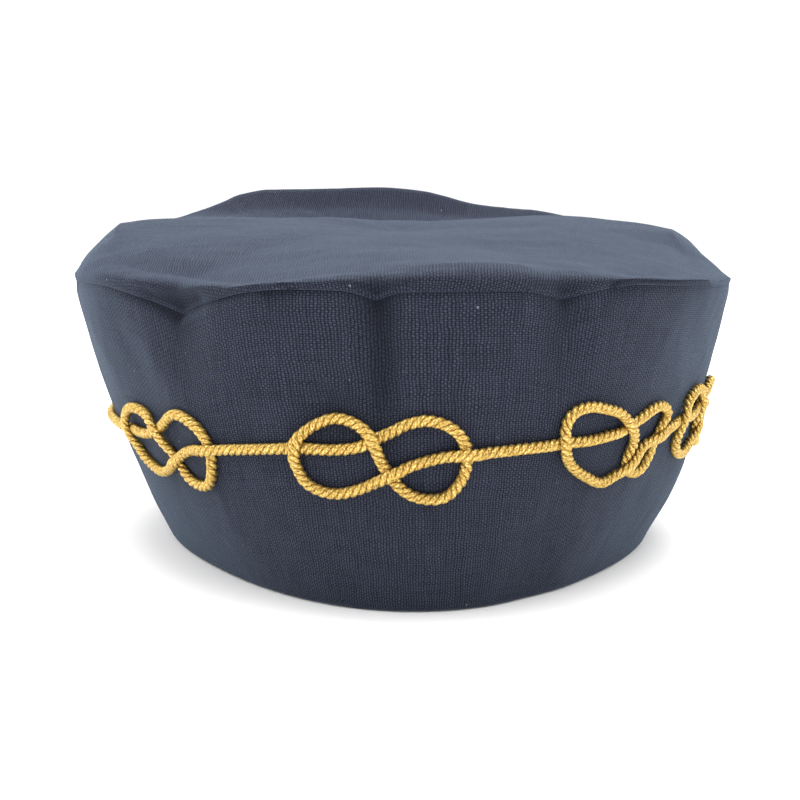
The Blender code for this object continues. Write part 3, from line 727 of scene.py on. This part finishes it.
def cord_course():
    """The cord's middle line on the cloth, the cloth's normal there, how flat the cord is, and its length.

    Where it crosses over itself it climbs by a swell, and there both its runs are pressed.
    """
    line, over = knot_line()
    course = closed_curve(line, CORD_PIECES)
    run, whole = run_lengths(course)
    tops = np.flatnonzero(over) * CORD_PIECES
    apart = apart_along(run, run[tops], whole)
    gap = np.linalg.norm(course[:, None] - course[None, tops], axis=-1)
    unders = np.argmin(np.where(apart < 2.0 * CROSSING_REACH, 1.0, gap), axis=0)
    climb = swell(apart, CROSSING_REACH).max(axis=1)
    beneath = swell(apart_along(run, run[unders], whole), CROSSING_REACH).max(axis=1)
    pressed = CROSSING_PRESS * np.maximum(climb, beneath)
    angle = np.degrees(np.arctan2(course[:, 0], -course[:, 1]))
    rise = course[:, 2] / seam_height(angle)
    stand = CORD_DIAMETER / 2 * (1.0 - pressed) - CORD_PRESS + climb * CROSSING_LIFT
    placed = wall_point(angle, rise) + wall_outward(angle, rise) * stand[:, None]
    rows, whole = evenly_spaced(np.hstack([placed, pressed[:, None]]), STRAND_STEP)
    course, pressed = rows[:, :3], rows[:, 3]
    angle = np.degrees(np.arctan2(course[:, 0], -course[:, 1]))
    outward = wall_outward(angle, np.clip(course[:, 2] / seam_height(angle), 0.0, 1.0))
    return course, outward, pressed, whole


def make_gold_strands(material):
    """Three strands wound round the cord's middle line, each an oval section carried along its own helix."""
    course, outward, pressed, whole = cord_course()
    count = len(course)
    ahead = unit(np.roll(course, -1, axis=0) - np.roll(course, 1, axis=0))
    outward = unit(outward - ahead * np.sum(outward * ahead, axis=-1, keepdims=True))
    beside = np.cross(ahead, outward)
    turns = round(whole / STRAND_PITCH)
    run = np.arange(count) / count
    sides = 2.0 * np.pi * np.arange(STRAND_SIDES) / STRAND_SIDES
    for strand in range(STRANDS):
        twist = -2.0 * np.pi * (turns * run + strand / STRANDS)
        waves = rumpled(run, 0.5 * np.ones(count), (STRAND_WAVES, 1), STRAND_SEED + strand)
        slack = 1.0 + STRAND_UNEVEN * waves
        away = outward * np.cos(twist)[:, None] + beside * np.sin(twist)[:, None]
        middle = course + away * (STRAND_OFFSET * slack)[:, None]
        along = unit(np.roll(middle, -1, axis=0) - np.roll(middle, 1, axis=0))
        radial = unit(away - along * np.sum(away * along, axis=-1, keepdims=True))
        flank = np.cross(along, radial)
        thick = STRAND_RADIUS * (2.0 - slack)
        rings = (middle[:, None]
                 + radial[:, None] * (thick[:, None] * np.cos(sides))[..., None]
                 + flank[:, None] * (thick[:, None] * np.sin(sides))[..., None])
        cloth = np.stack(np.meshgrid(
            np.arange(STRAND_SIDES + 1) / STRAND_SIDES, whole * np.append(run, 1.0)), axis=-1)
        local = rings - course[:, None]
        up, sideways = (np.sum(local * way[:, None], axis=-1)[..., None] for way in (outward, beside))
        rings = rings - up * outward[:, None] * pressed[:, None, None]
        rings = rings + PRESSED_WIDER * sideways * beside[:, None] * pressed[:, None, None]
        name = f"gold_strand_{strand + 1}"
        mesh = skin(name, rings[:, ::-1], cloth, joined=True)
        laid = np.stack([
            np.sum(local * outward[:, None], axis=-1),
            np.sum(local * beside[:, None], axis=-1),
            np.sum(local * ahead[:, None], axis=-1) + (whole * run)[:, None],
        ], axis=-1)[:, ::-1]
        straight = mesh.attributes.new("straight_rope", "FLOAT_VECTOR", "POINT")
        straight.data.foreach_set("vector", laid.ravel())
        place(name, mesh, material, "gold_cord")


class Field:
    """A number that varies over a surface, written in Python sums that become Math nodes."""

    def __init__(self, nodes, socket):
        self.nodes, self.socket = nodes, socket

    def maths(self, operation, *values):
        inputs = dict(enumerate(values))
        return self.nodes.node("ShaderNodeMath", {"operation": operation}, inputs)

    def __add__(self, other):
        return self.maths("ADD", self, other)

    def __sub__(self, other):
        return self.maths("SUBTRACT", self, other)

    def __mul__(self, other):
        return self.maths("MULTIPLY", self, other)

    def __truediv__(self, other):
        return self.maths("DIVIDE", self, other)

    def __rsub__(self, other):
        return self.maths("SUBTRACT", other, self)

    def __pow__(self, other):
        return self.maths("POWER", self, other)

    def __abs__(self):
        return self.maths("ABSOLUTE", self)

    __radd__ = __add__
    __rmul__ = __mul__

    def cosine(self):
        return self.maths("COSINE", self)

    def between(self, low, high):
        """0 up to low and 1 from high on, with a smooth step between."""
        settings = {"interpolation_type": "SMOOTHSTEP"}
        inputs = {"Value": self, "From Min": low, "From Max": high}
        return self.nodes.node("ShaderNodeMapRange", settings, inputs)


class Nodes:
    """A tree's nodes. Each is made by node(), from its settings and then its sockets' values or links."""

    def __init__(self, tree):
        self.tree = tree

    def node(self, kind, settings=None, inputs=None, out=0):
        made = self.tree.nodes.new(kind)
        for name, value in (settings or {}).items():
            setattr(made, name, value)
        for socket, value in (inputs or {}).items():
            if isinstance(value, Field):
                self.tree.links.new(value.socket, made.inputs[socket])
            else:
                made.inputs[socket].default_value = value
        if isinstance(out, tuple):
            return [Field(self, made.outputs[k]) for k in out]
        return Field(self, made.outputs[out])

    def mixed(self, share, low, high):
        """Two colours mixed by a share, by the Mix node's colour sockets."""
        return self.node("ShaderNodeMix", {"data_type": "RGBA"}, {0: share, 6: low, 7: high}, out=2)

    def vector(self, x, y, z=0.0):
        return self.node("ShaderNodeCombineXYZ", {}, {0: x, 1: y, 2: z})

    def noise(self, at, scale, detail):
        inputs = {"Vector": at, "Scale": scale, "Detail": detail}
        return self.node("ShaderNodeTexNoise", {"noise_dimensions": "3D"}, inputs)


class Finish(Nodes):
    """A Principled material, whose constant sockets are set by name and whose varying ones are fed."""

    def __init__(self, name, **constants):
        self.material = bpy.data.materials.new(name)
        self.material.use_nodes = True
        super().__init__(self.material.node_tree)
        self.shader = self.tree.nodes["Principled BSDF"]
        for socket, value in constants.items():
            self.shader.inputs[socket.replace("_", " ")].default_value = value

    def feed(self, socket, value):
        self.tree.links.new(value.socket, self.shader.inputs[socket])


WARP_PITCH = 0.00085
WEFT_PITCH = 0.00060
# NAVY_DEEP is the painted shade's colour, between the threads and in the folds; NAVY_THREAD is the threads'
# own colour.
NAVY_DEEP = (0.0030, 0.0038, 0.0080, 1.0)
NAVY_THREAD = (0.044, 0.051, 0.082, 1.0)
LINT_COLOUR = (0.30, 0.32, 0.36, 1.0)
SHEEN_COLOUR = (0.52, 0.74, 1.0, 1.0)
LINT_SHARE = 0.7
PAINTED_SHADE_SHARE = 0.75
WEAVE_HEIGHT = 0.00022


def navy_cloth():
    """Plain-weave cotton: warp and weft cross over and under, with uneven threads, slubs and lint."""
    cloth = Finish("navy_cloth_woven", Roughness=0.92, Metallic=0.0, Sheen_Weight=0.25, Sheen_Roughness=0.35,
                   Sheen_Tint=SHEEN_COLOUR, Specular_IOR_Level=0.2)
    place_on = cloth.node("ShaderNodeUVMap", {"uv_map": "cloth"})
    across, up = cloth.node("ShaderNodeSeparateXYZ", {}, {0: place_on}, out=(0, 1))
    drift = cloth.noise(cloth.vector(across, up), scale=130.0, detail=1.0)
    jitter = cloth.noise(cloth.vector(across, up, 5.0), scale=700.0, detail=1.0)
    warp = across / WARP_PITCH + drift * 1.6 + jitter * 0.7
    weft = up / WEFT_PITCH + drift * 1.3 - jitter * 0.9
    over = (warp * math.pi).cosine()
    under = (weft * math.pi).cosine()
    top = (over * under).between(-0.25, 0.25)
    warp_round, weft_round = abs(over) ** 0.8, abs(under) ** 0.8
    warp_bead = warp_round * (0.45 + 0.55 * weft_round)
    weft_bead = weft_round * (0.30 + 0.70 * warp_round)
    height = top * warp_bead + (1.0 - top) * weft_bead * 0.75
    warp_uneven = cloth.noise(cloth.vector(warp, weft * 0.05), scale=1.0, detail=1.0)
    weft_uneven = cloth.noise(cloth.vector(warp * 0.06, weft, 7.0), scale=1.0, detail=1.0)
    uneven = top * warp_uneven + (1.0 - top) * weft_uneven
    # Painted shade: the colour is darker where the weave is low, between the threads; the uneven threads are
    # their own tone.
    shade = height * (0.25 + 1.1 * uneven)
    colour = cloth.mixed(shade.between(0.05, 0.85), NAVY_DEEP, NAVY_THREAD)
    fibre = cloth.noise(cloth.vector(across, up * 0.35, 3.0), scale=2600.0, detail=1.0)
    fleck = cloth.noise(cloth.vector(across, up, 9.0), scale=420.0, detail=2.0)
    lint = fleck.between(0.74, 0.78) * fibre.between(0.45, 0.6)
    colour = cloth.mixed(lint * LINT_SHARE, colour, LINT_COLOUR)
    # Painted shade: the fold_shade attribute darkens the colour towards NAVY_DEEP along the seam, at the
    # puckers and in the hollows.
    painted_shade_in_folds = cloth.node("ShaderNodeAttribute", {"attribute_name": "fold_shade"}, out=2)
    colour = cloth.mixed(painted_shade_in_folds * PAINTED_SHADE_SHARE, colour, NAVY_DEEP)
    cloth.feed("Base Color", colour)
    bump = cloth.node("ShaderNodeBump", {}, {"Strength": 0.6, "Distance": WEAVE_HEIGHT, "Height": height})
    cloth.feed("Normal", bump)
    return cloth.material


# GOLD_DEEP is mostly painted shade in the grooves, GOLD_MIDDLE the yarns' own gold, and GOLD_BRIGHT painted
# glints.
GOLD_BRIGHT = (0.82, 0.655, 0.24, 1.0)
GOLD_MIDDLE = (0.56, 0.36, 0.085, 1.0)
GOLD_DEEP = (0.23, 0.11, 0.020, 1.0)
YARNS = 6.0
YARN_LAY = 0.0085
YARN_HEIGHT = 0.00018


def gold_thread():
    """Metallic yarn: each strand is wound of fine yarns. Its colour holds painted glints on their crowns and
    painted shade between them and in the grooves.
    """
    gold = Finish("gold_thread_filaments", Metallic=0.8, Roughness=0.36)
    place_on = gold.node("ShaderNodeUVMap", {"uv_map": "cloth"})
    around, along = gold.node("ShaderNodeSeparateXYZ", {}, {0: place_on}, out=(0, 1))
    straight = gold.node("ShaderNodeAttribute", {"attribute_name": "straight_rope"}, out=1)
    x, y, z = gold.node("ShaderNodeSeparateXYZ", {}, {0: straight}, out=(0, 1, 2))
    wander = gold.noise(gold.vector(x, y, z * 0.6), scale=900.0, detail=1.0)
    yarn = ((around - along / YARN_LAY + wander * 0.10) * (2.0 * math.pi * YARNS)).cosine()
    filament = gold.noise(gold.vector(x, y, z * 0.35), scale=3600.0, detail=1.0)
    glint = gold.noise(gold.vector(x, y, z), scale=1500.0, detail=2.0)
    # Painted light: the colour is darker between the yarns and deeper in the grooves between strands, which
    # is painted shade, and lifted towards GOLD_BRIGHT in random spots on the crowns, which are painted
    # glints. The filament noise is the yarns' uneven tone.
    radius = (x * x + y * y) ** 0.5
    crown = (radius / (CORD_DIAMETER / 2)).between(0.50, 0.95)
    shade = (0.5 + 0.15 * yarn + 1.5 * (glint - 0.5) + 0.8 * (filament - 0.5)) * (0.30 + 0.70 * crown)
    colour = gold.mixed(shade.between(0.05, 0.42), GOLD_DEEP, GOLD_MIDDLE)
    colour = gold.mixed(shade.between(0.50, 0.86), colour, GOLD_BRIGHT)
    gold.feed("Base Color", colour)
    gold.feed("Roughness", 0.24 + 0.34 * filament)
    relief = 0.5 + 0.2 * yarn + 0.5 * filament + 0.8 * glint
    bump = gold.node("ShaderNodeBump", {}, {"Strength": 0.8, "Distance": YARN_HEIGHT, "Height": relief})
    gold.feed("Normal", bump)
    return gold.material


def make_floor():
    """A wide pale floor just under the cap's foot."""
    half, below = 4.0, -0.0002
    mesh = bpy.data.meshes.new("floor")
    corners = [(-half, -half, below), (half, -half, below), (half, half, below), (-half, half, below)]
    mesh.from_pydata(corners, [], [(0, 1, 2, 3)])
    finish = Finish("pale_floor", Base_Color=(0.97, 0.97, 0.97, 1.0), Roughness=0.9)
    mesh.materials.append(finish.material)
    floor = bpy.data.objects.new("floor", mesh)
    bpy.context.scene.collection.objects.link(floor)


# The square lights, with their places and sizes in metres and their powers in watts
SOFTBOXES = [
    dict(name="overhead", at=(0.15, 0.1, 1.3), size=1.3, power=19.0),
    dict(name="window_left", at=(-1.2, -0.1, 0.9), size=1.0, power=5.0),
]
LIT_HEIGHT = 0.06

# The sky's strength, what it gains overhead and at both sides, and what it loses behind the camera
SKY = 1.03
SKY_OVERHEAD = 0.7
SKY_SIDES = 0.5
SKY_BEHIND_CAMERA = 0.72

# The camera, in metres, degrees and millimetres
CAMERA_AT = (0.002, -0.368, 0.105)
CAMERA_PITCH = 9.2
CAMERA_YAW = -0.3
CAMERA_ROLL = -0.6
SENSOR_WIDTH = 36.0
LENS = 43.965


def softbox(name, at, size, power):
    """A large square light that faces the cap."""
    lamp = bpy.data.lights.new(name, "AREA")
    lamp.size = size
    lamp.energy = power
    holder = bpy.data.objects.new(name, lamp)
    bpy.context.scene.collection.objects.link(holder)
    way = Vector((0.0, 0.0, LIT_HEIGHT)) - Vector(at)
    holder.matrix_world = Matrix.Translation(at) @ way.to_track_quat("-Z", "Y").to_matrix().to_4x4()


def make_light():
    """A pale sky that is darker behind the camera, and the square lights."""
    world = bpy.data.worlds.new("studio")
    world.use_nodes = True
    shader = world.node_tree.nodes["Background"]
    shader.inputs["Color"].default_value = (1.0, 1.0, 1.0, 1.0)
    sky = Nodes(world.node_tree)
    way = sky.node("ShaderNodeTexCoord")
    x, y, z = sky.node("ShaderNodeSeparateXYZ", {}, {0: way}, out=(0, 1, 2))
    above = z.between(0.1, 0.95)
    behind_camera = (0.0 - y).between(0.1, 0.9) * (1.0 - above)
    bright = SKY + SKY_OVERHEAD * above + SKY_SIDES * x * x - SKY_BEHIND_CAMERA * behind_camera
    sky.tree.links.new(bright.socket, shader.inputs["Strength"])
    bpy.context.scene.world = world
    for row in SOFTBOXES:
        softbox(**row)
    bpy.context.scene.view_settings.view_transform = "Standard"


def make_camera():
    """The camera at the photograph's viewing angle: a little above the seam, looking slightly down."""
    pitch, yaw, roll = (math.radians(turn) for turn in (CAMERA_PITCH, CAMERA_YAW, CAMERA_ROLL))
    forward = Vector((0.0, math.cos(pitch), -math.sin(pitch)))
    right = Vector((1.0, 0.0, 0.0))
    base = Matrix((right, right.cross(forward), -forward)).transposed()
    data = bpy.data.cameras.new("camera")
    data.sensor_width = SENSOR_WIDTH
    data.lens = LENS
    camera = bpy.data.objects.new("camera", data)
    bpy.context.scene.collection.objects.link(camera)
    turned = Matrix.Rotation(-yaw, 3, "Z") @ base @ Matrix.Rotation(-roll, 3, "Z")
    camera.matrix_world = Matrix.Translation(CAMERA_AT) @ turned.to_4x4()
    bpy.context.scene.camera = camera


make_camera()
make_light()
make_floor()
cloth_finish = navy_cloth()
make_cap_wall(cloth_finish)
make_cap_tip(cloth_finish)
make_gold_strands(gold_thread())
